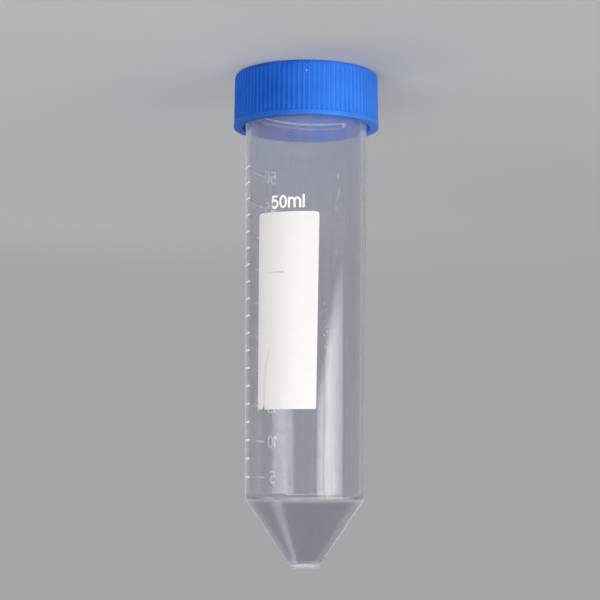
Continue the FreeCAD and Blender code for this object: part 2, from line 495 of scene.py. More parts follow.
        # painted light: blend towards the blue tint near the cap, for the cap's blue light
        colour = shader.blend(1 - level.rise(*self.cap_light_paint_span), colour, self.cap_light_paint)
        clear = shader.add("ShaderNodeBsdfPrincipled", {}, {
            "Base Color": colour, "Roughness": roughness, "Normal": normal,
            "IOR": self.bend, "Transmission Weight": 1.0,
            "Sheen Weight": self.sheen, "Sheen Roughness": self.sheen_rough,
        })
        # paleness from the haze and real rubs, plus the painted light of the neck and the painted glints of
        # the flanks
        body = shader.blend((milky + rub) * self.pale_gain, self.haze, self.pale)
        front = shader.add("ShaderNodeBsdfDiffuse", {}, {"Color": body, "Normal": normal})
        through = shader.add("ShaderNodeBsdfTranslucent", {}, {"Color": body, "Normal": normal})
        # the flanks scatter more light to the front, which brightens their painted glints
        milk = shader.mix_shaders(self.through - flank * self.flank_through, front, through)
        return shader.finish(shader.for_lamps(shader.mix_shaders(share, clear, milk), self.shade))


@dataclass(frozen=True)
class CapFinish:
    """Satin moulded polyethylene: painted shade leaves the valleys deep blue, painted light paler at -X.

    A paleness is how far a cause takes the colour from deep to pale, and a size is how often a noise
    repeats in a metre. The valley shade span is in distances from the axis: the valleys below it keep
    painted shade, and the crests above it are paler and a little smoother from wear. The lit side span
    lies along X, and the cap is painted paler towards -X, as painted light.
    """

    name: str = "satin_blue_polyethylene"
    deep: Colour = (0.003, 0.066, 0.39)
    pale: Colour = (0.050, 0.242, 0.84)
    # painted light: the cap turns paler towards -X, as if lit from that side
    lit_side_span: Flat = (-7.0 * MM, 8.0 * MM)
    shine: float = 0.42
    cloud_rough: float = 0.16
    scuff_rough: float = 0.12
    worn_rough: float = -0.03
    bend: float = 1.52
    specular: float = 0.08
    # painted shade: below this span from the axis, the rib valleys stay deep blue
    valley_shade_span: Flat = (17.4 * MM, 17.7 * MM)
    paleness: float = 0.10
    valley_shade_paleness: float = 0.18
    lit_side_paleness: float = 0.62
    cloud_paleness: float = 0.5
    cloud_size: float = 170.0
    peel_size: float = 1900.0
    peel_height: float = 0.012 * MM
    scuff_size: Place = (420.0, 420.0, 90.0)
    scuff_tilt: float = 0.35
    scuff_share: Flat = (0.62, 0.76)
    scuff_height: float = 0.3
    shade: Colour = (0.10, 0.25, 0.60)

    def material(self) -> bpy.types.Material:
        """Build the cap's material.

        Returns:
            The new material.
        """
        shader = Shader.material(self.name)
        place = shader.place()
        # painted shade in the valleys: 1 on the crests, which are paler and, as wear, a little smoother
        worn = shader.reach(place).rise(*self.valley_shade_span)
        cloud = shader.noise(place, 3.0, self.cloud_size)
        peel = shader.noise(place, 2.0, self.peel_size)
        grazed = shader.stretch(place, self.scuff_size, self.scuff_tilt)
        scuff = shader.noise(grazed, 4.0).rise(*self.scuff_share)
        # painted light: 1 on the -X side of the cap, which is painted paler
        lit_side = 1 - shader.axis(place, "X").rise(*self.lit_side_span)
        share = worn * self.valley_shade_paleness + lit_side * self.lit_side_paleness
        share = share + (cloud - 0.5) * self.cloud_paleness + self.paleness
        roughness = (cloud - 0.5) * self.cloud_rough + scuff * self.scuff_rough
        roughness = roughness + worn * self.worn_rough + self.shine
        face = shader.add("ShaderNodeBsdfPrincipled", {}, {
            "Base Color": shader.blend(share, self.deep, self.pale),
            "Roughness": roughness,
            "Normal": shader.bump(peel + scuff * self.scuff_height, self.peel_height),
            "IOR": self.bend,
            "Specular IOR Level": self.specular,
        })
        return shader.finish(shader.for_lamps(face, self.shade))


@dataclass(frozen=True)
class PatchMarks:
    """Wear on the writing patch: a grey scuff across it and a faint crease above its slit.

    Turns and the crease's sweep are in degrees, the scuff's end and the crease's edge in radians. The
    scuff's width is what it starts with and what it gains, and its edge is in shares of that width.
    """

    scuff_turns: Place = (-43.0, -27.0, -20.2)
    scuff_end: float = 0.02
    scuff_level: float = 50.52 * MM
    scuff_width: Flat = (0.08 * MM, 0.22 * MM)
    scuff_edge: Flat = (0.2, 1.3)
    crease_levels: Flat = (67.3 * MM, 83.0 * MM)
    crease_span: Flat = (66.5 * MM, 71.0 * MM)
    crease_turn: float = -42.2
    crease_sweep: float = 8.2
    crease_curve: float = 2.65
    crease_edge: Flat = (0.006, 0.036)
    crease_depth: float = 0.42

    def wear(self, shader: Shader, place: Signal) -> Signal:
        """Shade the scuff and the crease.

        Args:
            shader: The ink under construction.
            place: The point on the surface.

        Returns:
            How worn the ink is, from 0 to 1.
        """
        turn = shader.turn(place)
        level = shader.axis(place, "Z")
        start, full, end = (math.radians(angle) for angle in self.scuff_turns)
        along = turn.rise(start, full) * (1 - turn.rise(end - self.scuff_end, end))
        width, gain = self.scuff_width
        spread = turn.rise(start, end) * gain + width
        off = abs(level - self.scuff_level) * (1 / MM)
        scuff = (1 - off.rise(*(spread * (share / MM) for share in self.scuff_edge))) * along
        top, foot = self.crease_levels
        rise = (1 - (level - top) * (1 / (foot - top))).math("MAXIMUM", 0.0)
        bend = rise**self.crease_curve * math.radians(self.crease_sweep)
        off_line = abs(turn - (bend + math.radians(self.crease_turn)))
        crease = (1 - off_line.rise(*self.crease_edge)) * level.rise(*self.crease_span)
        return scuff + crease * self.crease_depth


@dataclass(frozen=True)
class InkFinish:
    """White screen ink: nearly opaque, faintly mottled, with the scuffs that the patch has taken."""

    name: str
    white: Colour
    glow: float
    worn: Colour = (0.60, 0.60, 0.61)
    shine: float = 0.42
    mottle_rough: float = 0.2
    bend: float = 1.5
    wear: float = 0.05
    mottle_wear: float = 0.22
    grain_wear: float = 0.10
    mottle_size: float = 320.0
    grain_size: float = 2400.0
    grain_height: float = 0.006 * MM
    shade: Colour = (0.50, 0.50, 0.50)
    marks: "PatchMarks | None" = None

    def material(self) -> bpy.types.Material:
        """Build the ink's material.

        Returns:
            The new material.
        """
        shader = Shader.material(self.name)
        place = shader.place()
        mottle = shader.noise(place, 3.0, self.mottle_size)
        grain = shader.noise(place, 2.0, self.grain_size)
        share = (mottle - 0.5) * self.mottle_wear + (grain - 0.5) * self.grain_wear + self.wear
        if self.marks:
            share = share + self.marks.wear(shader, place)
        colour = shader.blend(share, self.white, self.worn)
        face = shader.add("ShaderNodeBsdfPrincipled", {}, {
            "Base Color": colour,
            "Roughness": (mottle - 0.5) * self.mottle_rough + self.shine,
            "Normal": shader.bump(grain, self.grain_height),
            "IOR": self.bend,
        })
        through = shader.add("ShaderNodeBsdfTranslucent", {}, {"Color": colour})
        return shader.finish(shader.for_lamps(shader.mix_shaders(self.glow, face, through), self.shade))


@dataclass(frozen=True)
class FloorFinish:
    """Pale studio paper that fades into the background away from the part."""

    paper: Colour
    sheet: Colour = (0.66, 0.665, 0.675)
    fibre_shade: float = 0.97
    glow: float = 0.35
    reach: float = 0.16
    fade: float = 0.42
    fibre_size: float = 900.0

    def material(self) -> bpy.types.Material:
        """Build the floor's material.

        Returns:
            The new material.
        """
        shader = Shader.material("studio_paper")
        place = shader.place()
        fibre = shader.noise(place, 3.0, self.fibre_size)
        colour = shader.blend(fibre, self.sheet, tuple(part * self.fibre_shade for part in self.sheet))
        sheet = shader.add("ShaderNodeBsdfDiffuse", {}, {"Color": colour})
        glow = shader.add("ShaderNodeEmission", {}, {"Color": (*self.paper, 1.0), "Strength": 1.0})
        far = shader.reach(place).rise(self.reach, self.fade)
        far = far.math("MAXIMUM", self.glow) * shader.seen()
        return shader.finish(shader.mix_shaders(far, sheet, glow))


# ---------------------------------------------------------------- meshes


def rounded(corners: Sequence[tuple[float, float, float]], steps: int = 7) -> list[Flat]:
    """Trace an outline of radii and levels with its corners rounded.

    Args:
        corners: Radius, level and rounding of each corner; a rounding of 0 keeps it sharp.
        steps: Segments in each rounding.

    Returns:
        The points of the outline, with one more on the straight run each side of a rounding.
    """
    points: list[Flat] = []
    for index, (radius, level, rounding) in enumerate(corners):
        here = Vector((radius, level))
        if not rounding or index in (0, len(corners) - 1):
            points.append((radius, level))
            continue
        back = (Vector(corners[index - 1][:2]) - here).normalized()
        ahead = (Vector(corners[index + 1][:2]) - here).normalized()
        half = back.angle(ahead) / 2
        centre = here + (back + ahead).normalized() * rounding / math.sin(half)
        reach = rounding / math.tan(half)
        run = 0.3 * rounding
        first = here + back * reach - centre
        sweep = (here + ahead * reach - centre).angle_signed(first)
        points.append(tuple(here + back * (reach + run)))
        for step in range(steps + 1):
            arm = first.copy()
            arm.rotate(Matrix.Rotation(sweep * step / steps, 2))
            points.append(tuple(centre + arm))
        points.append(tuple(here + ahead * (reach + run)))
    return points


@dataclass(frozen=True)
class Thread:
    """A right-handed single-start thread.

    Its start is the level of its first end, at an angle in degrees from +X. Its flanks are softened
    by a little at root and crest, and fade is how many degrees its ends take to run out.
    """

    start: float
    angle: float
    turns: float
    lead: float = 4.2 * MM
    height: float = 0.7 * MM
    root: float = 1.7 * MM
    crest: float = 0.8 * MM
    soft: float = 0.10 * MM
    spare: float = 0.12 * MM
    flank_rows: int = 10
    fade: float = 14.0

    def offsets(self) -> list[float]:
        """List levels across one lead, close together on the flanks.

        Returns:
            Distances from the middle of the thread, along the axis.
        """
        half_root, half_crest = self.root / 2, self.crest / 2
        near, far = half_crest - self.spare, half_root + self.spare
        flank = [mixed(near, far, row / (self.flank_rows - 1)) for row in range(self.flank_rows)]
        side = [0.0, half_crest * 0.4, *flank, half_root * 1.4]
        return [-value for value in reversed(side[1:])] + side + [self.lead / 2]

    def stands(self, offset: float, along: float) -> float:
        """Find how far the thread stands out of its wall.

        Args:
            offset: Distance from the middle of the thread, along the axis.
            along: Degrees from the thread's first end.

        Returns:
            The height in metres.
        """
        slope = (self.root - self.crest) / 2 + 2 * self.soft
        flank = (self.root / 2 + self.soft - abs(offset)) / slope
        ends = min(along, self.turns * 360 - along) / self.fade
        return self.height * smooth(flank) * smooth(ends)


class Draft:
    """The vertices and faces of one piece, gathered ring by ring.

    Vertices closer together than its weld become one when the piece is made, and edges with more
    than its bend in degrees between their faces look sharp.
    """

    weld = 0.0001 * MM
    bend = 40.0

    def __init__(self) -> None:
        """Start with no vertices and no faces."""
        self.points: list[Vector] = []
        self.faces: list[Sequence[int]] = []

    def point(self, place: Vector) -> int:
        """Add one vertex and return its number."""
        self.points.append(place)
        return len(self.points) - 1

    def ring(self, angles: Sequence[float], spot: Callable[[float], Flat]) -> list[int]:
        """Add a closed ring of vertices.

        Args:
            angles: Where they stand, in radians from +X.
            spot: Gives the radius and the level at an angle.

        Returns:
            The vertices' numbers.
        """
        numbers = []
        for angle in angles:
            radius, level = spot(angle)
            numbers.append(self.point(Vector((radius * math.cos(angle), radius * math.sin(angle), level))))
        return numbers

    def face(self, *corners: int) -> None:
        """Add a face, leaving out corners that repeat.

        Args:
            *corners: The vertices' numbers, in order round the face.
        """
        kept = [corner for index, corner in enumerate(corners) if corner != corners[index - 1]]
        if len(kept) > 2:
            self.faces.append(kept)

    def join(self, first: Sequence[int], second: Sequence[int]) -> None:
        """Join a fine closed ring to a coarser one.

        Args:
            first: The fine ring, with a whole multiple of the coarser one's vertices.
            second: The coarser ring.
        """
        share = len(first) // len(second)
        for index in range(len(second)):
            after = (index + 1) % len(second)
            fine = [first[(index * share + step) % len(first)] for step in range(share + 1)]
            middle = (share + 1) // 2
            for step in range(share):
                near = second[index] if step < middle else second[after]
                self.face(fine[step], fine[step + 1], near)
            self.face(fine[middle], second[after], second[index])

    def join_even(self, first: Sequence[int], second: Sequence[int]) -> None:
        """Join two closed rings with four-sided faces.

        Args:
            first: One ring.
            second: The other ring, with as many vertices.
        """
        for index in range(len(first)):
            after = (index + 1) % len(first)
            self.face(first[index], first[after], second[after], second[index])

    def close(self, ring: Sequence[int], level: float) -> None:
        """Close a ring with a fan of faces to the axis.

        Args:
            ring: The ring's vertices.
            level: Where the fan's middle stands on the axis.
        """
        centre = self.point(Vector((0.0, 0.0, level)))
        for index in range(len(ring)):
            self.face(ring[index], ring[(index + 1) % len(ring)], centre)

    def lathe(self, outline: Sequence[Flat], angles: Sequence[float], first: Sequence[int]) -> list[int]:
        """Turn an outline round the axis, going on from an earlier ring.

        Args:
            outline: Radii and levels. A last radius of 0 closes the surface.
            angles: Where the vertices of a ring stand.
            first: The ring to go on from, or an empty list.

        Returns:
            The last ring.
        """
        last = list(first)
        for radius, level in outline:
            if radius == 0:
                self.close(last, level)
                break
            ring = self.ring(angles, lambda _, spot=(radius, level): spot)
            if last:
                self.join_even(last, ring)
            last = ring
        return last

    def threaded(
        self, angles: Sequence[float], thread: Thread, ends: Flat, radius: Callable[[float, float], float]
    ) -> tuple[list[int], list[int]]:
        """Build a wall with a thread, in rows that follow the thread's rise.

        Args:
            angles: Where the columns of vertices stand.
            thread: The thread.
            ends: The wall's lower and upper level.
            radius: Gives the wall's radius for a level and the thread's height there.

        Returns:
            The wall's lowest and highest rings.
        """
        low, high = ends
        columns = len(angles)
        bottom = self.ring(angles, lambda _: (radius(low, 0.0), low))
        top = self.ring(angles, lambda _: (radius(high, 0.0), high))
        offsets = thread.offsets()
        base = thread.start - thread.lead * thread.angle / 360
        first = math.floor((low - base) / thread.lead) - 2
        last = math.ceil((high - base) / thread.lead) + 2
        rows = [(turn, offset) for turn in range(first, last) for offset in offsets]
        made: dict[tuple[int, int], int] = {}

        def number(row: int, column: int) -> int:
            """Find or make a vertex of the wall.

            Args:
                row: Its row along the thread.
                column: Its column, or one past the last for the first column one turn further on.

            Returns:
                The vertex's number, or that of an end's vertex where the row lies beyond the end.
            """
            if column == columns:
                row, column = row + len(offsets), 0
            turn, offset = rows[row]
            level = base + thread.lead * (turn + column / columns) + offset
            if level <= low:
                return bottom[column]
            if level >= high:
                return top[column]
            if (row, column) not in made:
                along = 360 * (turn + column / columns) - thread.angle
                reach = radius(level, thread.stands(offset, along))
                angle = angles[column]
                place = Vector((reach * math.cos(angle), reach * math.sin(angle), level))
                made[row, column] = self.point(place)
            return made[row, column]

        for row in range(len(rows) - len(offsets) - 1):
            for column in range(columns):
                self.face(
                    number(row, column), number(row, column + 1),
                    number(row + 1, column + 1), number(row + 1, column),
                )
        return bottom, top

    def build(self, name: str, body: str, slot: Plastic, finish: bpy.types.Material) -> bpy.types.Object:
        """Make the piece: a smooth-shaded mesh that rides on a body.

        Args:
            name: The piece's name.
            body: The body that it moves with.
            slot: The record's material slot; not used.
            finish: Its material.

        Returns:
            The new object.
        """
        mesh = bpy.data.meshes.new(name)
        mesh.from_pydata(self.points, [], self.faces)
        shape = bmesh.new()
        shape.from_mesh(mesh)
        loose = [point for point in shape.verts if not point.link_faces]
        bmesh.ops.delete(shape, geom=loose, context="VERTS")
        bmesh.ops.remove_doubles(shape, verts=shape.verts, dist=self.weld)
        bmesh.ops.recalc_face_normals(shape, faces=shape.faces)
        shape.to_mesh(mesh)
        shape.free()
        mesh.shade_smooth()
        mesh.set_sharp_from_angle(angle=math.radians(self.bend))
        mesh.materials.append(finish)
        piece = linked(name, mesh)
        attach(piece, body)
        sides = sum(len(face.vertices) - 2 for face in mesh.polygons)
        LOG.info("%s: %d triangles on body %s", name, sides, body)
        return piece


def turned_angles(count: int) -> list[float]:
    """Space angles evenly round the axis, in radians from +X."""
    return [math.tau * index / count for index in range(count)]


# ---------------------------------------------------------------- the tube


@dataclass
class TubeBody:
    """The moulded tube: a drafted body on a cone, open at the threaded neck."""

    seat: float
    tip: float
    thread: Thread
    mouth_radius: float
    draft: float = 0.5 * MM
    wall: float = 0.95 * MM
    cone_length: float = 16.4 * MM
    cone_wall: float = 1.3 * MM
    tip_radius: float = 3.2 * MM
    floor_thickness: float = 1.4 * MM
    neck_start: float = 0.42 * MM
    neck_leads: float = 2.1
    columns: int = 288

    @classmethod
    def from_frame(cls) -> "TubeBody":
        """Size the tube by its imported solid.

        Returns:
            The tube.
        """
        low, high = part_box("tube")
        thread = Thread(start=low.z + 1.45 * MM, angle=230.0, turns=1.75)
        return cls(low.z, high.z, thread, (high.x - low.x) / 2 - thread.height)

    @property
    def shoulder(self) -> float:
        """Level where the body meets the cone."""
        return self.tip - self.cone_length

    def radius(self, level: float) -> float:
        """Outside radius of the straight body at a level."""
        share = (level - self.seat) / (self.shoulder - self.seat)
        return self.mouth_radius - self.draft * share

    def outline(self, neck: Flat) -> tuple[list[Flat], list[Flat]]:
        """Trace the wall on both sides of the threaded neck.

        Args:
            neck: The neck's lower and upper level.

        Returns:
            The outline from the inside's floor to the neck, and the one from the neck to the tip.
        """
        slope = math.atan((self.radius(self.shoulder) - self.tip_radius) / self.cone_length)
        floor = self.tip - self.floor_thickness
        floor_radius = (
            self.tip_radius + self.floor_thickness * math.tan(slope) - self.cone_wall / math.cos(slope)
        )
        drop = (self.cone_wall - self.wall * math.cos(slope)) / math.sin(slope)
        bore = self.mouth_radius - self.wall
        inside = rounded([
            (0.0, floor, 0.0),
            (floor_radius, floor, 1.2 * MM),
            (self.radius(self.shoulder) - self.wall, self.shoulder - drop, 1.2 * MM),
            (bore, self.seat, 0.15 * MM),
            (self.mouth_radius, self.seat, 0.3 * MM),
            (self.radius(neck[0]), neck[0], 0.0),
        ])
        outside = rounded([
            (self.radius(neck[1]), neck[1], 0.0),
            (self.radius(self.shoulder), self.shoulder, 0.5 * MM),
            (self.tip_radius, self.tip, 0.6 * MM),
            (0.0, self.tip, 0.0),
        ])
        return inside, outside

    def build(self, finish: bpy.types.Material) -> bpy.types.Object:
        """Mould the wall with its thread and put it in the tube's place.

        Args:
            finish: The tube's material.

        Returns:
            The wall's piece.
        """
        neck = (self.seat + self.neck_start, self.thread.start + self.thread.lead * self.neck_leads)
        inside, outside = self.outline(neck)
        angles = turned_angles(self.columns)
        draft = Draft()
        low, high = draft.threaded(angles, self.thread, neck, lambda level, rise: self.radius(level) + rise)
        floor = draft.ring(angles, lambda _: inside[1])
        draft.close(floor, self.tip - self.floor_thickness)
        draft.join_even(draft.lathe(inside[2:-1], angles, floor), low)
        draft.lathe(outside[1:], angles, high)
        piece = draft.build("tube_wall", "tube", Plastic.TUBE, finish)
        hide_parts("tube")
        return piece


# ---------------------------------------------------------------- the cap


@dataclass
class ScrewCap:
    """The moulded cap: a flat top, a ribbed skirt, an internal thread and a plug ring.

    A small moulded pointer stands on one rib near the top.
    """

    rim: float
    band_radius: float
    bore: float
    seal_radius: float
    thread: Thread
    top_thickness: float = 1.7 * MM
    band_height: float = 1.1 * MM
    band_step: float = 0.1 * MM
    skirt_draft: float = 0.15 * MM
    edge_round: float = 1.3 * MM
    rim_round: float = 0.22 * MM
    bore_play: float = 0.15 * MM
    seal_play: float = 0.06 * MM
    thread_margin: float = 0.6 * MM
    straight_rows: int = 12
    ribs: int = 90
    valley_radius: float = 0.45 * MM
    valley_depth: float = 0.36 * MM
    valley_run_out: float = 0.45 * MM
    crest_soft: float = 0.06 * MM
    seal_height: float = 2.4 * MM
    seal_wall: float = 0.9 * MM
    seal_taper: float = 0.35 * MM
    pointer_size: Place = (0.62 * MM, 0.80 * MM, 0.16 * MM)
    pointer_sunk: float = 0.05 * MM
    pointer_level: float = 2.6 * MM
    inner_columns: int = 180

    @classmethod
    def from_frame(cls, tube: TubeBody) -> "ScrewCap":
        """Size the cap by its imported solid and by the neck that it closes.

        Args:
            tube: The tube.

        Returns:
            The cap.
        """
        low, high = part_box("cap")
        thread = Thread(start=tube.thread.start + tube.thread.lead / 2, angle=tube.thread.angle, turns=1.6)
        bore = tube.mouth_radius + tube.thread.height + cls.bore_play
        return cls(high.z, high.x, bore, tube.mouth_radius - tube.wall - cls.seal_play, thread)

    @property
    def crest(self) -> float:
        """Radius of the ribs' crests at the band."""
        return self.band_radius - self.band_step

    @property
    def band(self) -> float:
        """Level where the ribs end and the plain band begins."""
        return self.rim - self.band_height

    def rib_angles(self) -> list[float]:
        """Space the outer columns: six for each half rib, closer together at the crest's edge.

        Returns:
            Their angles, in radians from +X.
        """
        half = math.pi / self.ribs
        steps = [0.0, 0.17, 0.31, 0.43, 0.60, 0.80]
        angles = []
        for rib in range(self.ribs):
            start = math.tau * rib / self.ribs
            angles += [start + half * step for step in steps]
            angles += [start + half * (2 - step) for step in [1.0, *reversed(steps[1:])]]
        return angles

    def cut(self, angle: float) -> float:
        """Find how deep the valleys lie below the crests.

        Args:
            angle: The angle, in radians from +X.

        Returns:
            The depth in metres, with the crest's edges a little rounded.
        """
        pitch = math.tau / self.ribs
        across = abs((angle / pitch) % 1 - 0.5) * pitch * self.crest
        inside = max(self.valley_radius**2 - across**2, 0.0) ** 0.5
        depth = inside - (self.valley_radius - self.valley_depth)
        return (depth + math.hypot(depth, self.crest_soft)) / 2 - self.crest_soft * 0.35

    def skirt(self) -> list[tuple[float, float, float]]:
        """List the skirt's rows from the flat top to the rim.

        Returns:
            Each row's radius, its level, and the share of the valley's depth that it is cut by.
        """
        rows = []
        top = self.crest - self.skirt_draft
        for step in range(9):
            angle = math.pi / 2 * step / 8
            reach = self.edge_round * (math.sin(angle) - 1)
            rows.append((top + reach, self.edge_round * (1 - math.cos(angle)), 1.0))
        end = self.band - self.valley_run_out
        for step in range(1, self.straight_rows + 1):
            level = mixed(self.edge_round, end, step / self.straight_rows)
            rows.append((mixed(top, self.crest, level / self.band), level, 1.0))
        for step in range(1, 7):
            share = step / 6
            level = mixed(end, self.band + 0.1 * MM, share)
            rows.append((mixed(self.crest, self.band_radius, smooth(share)), level, 1 - smooth(share)))
        edge = self.rim_round
        rows.append((self.band_radius, self.rim - edge * 1.3, 0.0))
        for step in range(6):
            angle = math.pi / 2 * step / 5
            rows.append((
                self.band_radius - edge * (1 - math.cos(angle)),
                self.rim - edge * (1 - math.sin(angle)),
                0.0,
            ))
        return rows

    def row_radius(self, row: tuple[float, float, float], angle: float) -> float:
        """Find the radius of a skirt row: the outline, or the valley where that lies deeper.

        Args:
            row: The row's radius, level and share of the valley.
            angle: The angle, in radians from +X.

        Returns:
            The radius.
        """
        radius, level, share = row
        face = mixed(self.crest - self.skirt_draft, self.crest, min(level / self.band, 1.0))
        return min(radius, max(face, radius) - self.cut(angle) * share)

    def inside(self) -> tuple[list[Flat], list[Flat]]:
        """Trace the inside below and above the threaded bore.

        Returns:
            The outline from the rim to the thread, and the one from the thread to the axis.
        """
        seal_end = self.top_thickness + self.seal_height
        lean = self.seal_radius - self.seal_taper
        inner = self.seal_radius - self.seal_wall
        mouth = rounded([
            (self.band_radius - self.rim_round, self.rim, 0.0),
            (self.bore, self.rim, 0.25 * MM),
            (self.bore, self.rim - self.thread_margin, 0.0),
        ], 4)
        bottom = rounded([
            (self.bore, self.top_thickness + self.thread_margin, 0.0),
            (self.bore, self.top_thickness, 0.3 * MM),
            (self.seal_radius, self.top_thickness, 0.2 * MM),
            (lean, seal_end, 0.2 * MM),
            (inner, seal_end, 0.2 * MM),
            (inner, self.top_thickness, 0.3 * MM),
            (0.0, self.top_thickness, 0.0),
        ], 4)
        return mouth, bottom

    def build(self, finish: bpy.types.Material) -> bpy.types.Object:
        """Mould the cap and put it in its place.

        Args:
            finish: The cap's material.

        Returns:
            The cap's piece.
        """
        draft = Draft()
        outer = self.rib_angles()
        rings = [
            draft.ring(outer, lambda angle, row=row: (self.row_radius(row, angle), row[1]))
            for row in self.skirt()
        ]
        for first, second in zip(rings, rings[1:]):
            draft.join_even(first, second)
        inner = turned_angles(self.inner_columns)
        lid_radius = self.crest - 2.5 * self.edge_round
        lid = draft.ring(inner, lambda _: (lid_radius, 0.0))
        draft.join(rings[0], lid)
        draft.close(lid, 0.0)
        mouth, bottom = self.inside()
        low, high = draft.threaded(
            inner, self.thread, (bottom[0][1], mouth[-1][1]), lambda _, rise: self.bore - rise
        )
        start = draft.ring(inner, lambda _: mouth[1])
        draft.join(rings[-1], start)
        draft.join_even(draft.lathe(mouth[2:-1], inner, start), high)
        draft.lathe(bottom[1:], inner, low)
        piece = draft.build("cap_shell", "cap", Plastic.CAP, finish)
        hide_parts("cap")
        return piece

    def build_pointer(self, finish: bpy.types.Material) -> bpy.types.Object:
        """Raise the small pointer, a four-sided wedge that narrows towards the rim.

        Args:
            finish: Its material.

        Returns:
            The pointer's piece.
        """
        width, height, proud = self.pointer_size
        wall = self.crest - self.skirt_draft - self.pointer_sunk
        draft = Draft()
        corners = [(-width / 2, 0.0), (width / 2, 0.0), (0.0, height)]
        foot = [
            draft.point(around(math.degrees(x / wall), wall, self.pointer_level + z)) for x, z in corners
        ]
        peak = draft.point(around(0.0, self.crest + proud, self.pointer_level + height * 0.35))
        draft.face(*foot)
        for index in range(3):
            draft.face(foot[(index + 1) % 3], foot[index], peak)
        return draft.build("cap_pointer", "cap", Plastic.CAP, finish)


# ---------------------------------------------------------------- the print


def bow(centre: Flat, reach: Flat, start: float, end: float, steps: int = 14) -> list[Flat]:
    """Trace part of an oval.

    Args:
        centre: The oval's middle.
        reach: Half its width and half its height.
        start: The angle that it starts at, in degrees.
        end: The angle that it ends at.
        steps: Straight runs along it.

    Returns:
        The points along it.
    """
    points = []
    for step in range(steps + 1):
        angle = math.radians(mixed(start, end, step / steps))
        points.append((centre[0] + reach[0] * math.cos(angle), centre[1] + reach[1] * math.sin(angle)))
    return points


# Strokes of each character in a box one wide and one high, and how wide the box is beside a digit's.
STROKES: dict[str, tuple[float, list[list[Flat]]]] = {
    "0": (1.0, [bow((0.5, 0.5), (0.5, 0.5), 0, 180), bow((0.5, 0.5), (0.5, 0.5), 180, 360)]),
    "1": (0.45, [[(0.0, 0.76), (0.95, 1.0)], [(0.95, 1.0), (0.95, 0.0)]]),
    "2": (1.0, [
        bow((0.5, 0.70), (0.47, 0.30), 175, -10), bow((-0.12, 0.66), (1.09, 0.66), -2, -60, 8),
        [(0.03, 0.0), (1.0, 0.0)], [(0.43, 0.09), (0.03, 0.0)],
    ]),
    "3": (1.0, [
        bow((0.46, 0.75), (0.42, 0.25), 160, -80), bow((0.46, 0.27), (0.52, 0.27), 85, -160),
    ]),
    "4": (1.0, [[(0.72, 0.0), (0.72, 1.0)], [(0.72, 1.0), (0.0, 0.30)], [(0.0, 0.30), (1.0, 0.30)]]),
    "5": (1.0, [
        [(0.90, 1.0), (0.16, 1.0)], [(0.16, 1.0), (0.06, 0.52)],
        bow((0.47, 0.32), (0.53, 0.33), 140, -132),
    ]),
    "m": (1.85, [
        [(0.0, 0.0), (0.0, 0.80)], [(0.5, 0.0), (0.5, 0.52)], [(1.0, 0.0), (1.0, 0.52)],
        bow((0.25, 0.52), (0.25, 0.28), 180, 0), bow((0.75, 0.52), (0.25, 0.28), 180, 0),
    ]),
    "l": (0.14, [[(0.5, 0.0), (0.5, 1.04)]]),
}


def stroke_outline(path: Sequence[Flat], width: float) -> list[Flat]:
    """Outline a smooth stroke of even width with round ends.

    Args:
        path: The stroke's middle line.
        width: Its width.

    Returns:
        A closed outline.
    """
    half, cap_steps = width / 2, 6
    sides: tuple[list[Flat], list[Flat]] = ([], [])
    for index, (x, y) in enumerate(path):
        before, after = path[max(index - 1, 0)], path[min(index + 1, len(path) - 1)]
        angle = math.atan2(after[1] - before[1], after[0] - before[0])
        step = (-math.sin(angle) * half, math.cos(angle) * half)
        sides[0].append((x + step[0], y + step[1]))
        sides[1].append((x - step[0], y - step[1]))
    ends = []
    for (x, y), (near_x, near_y) in ((path[-1], path[-2]), (path[0], path[1])):
        ahead = math.atan2(y - near_y, x - near_x)
        ends.append([
            (x + half * math.cos(ahead + turn), y + half * math.sin(ahead + turn))
            for turn in (math.pi / 2 - math.pi * step / cap_steps for step in range(1, cap_steps))
        ])
    return [*reversed(ends[1]), *sides[1], *reversed(ends[0]), *reversed(sides[0])]


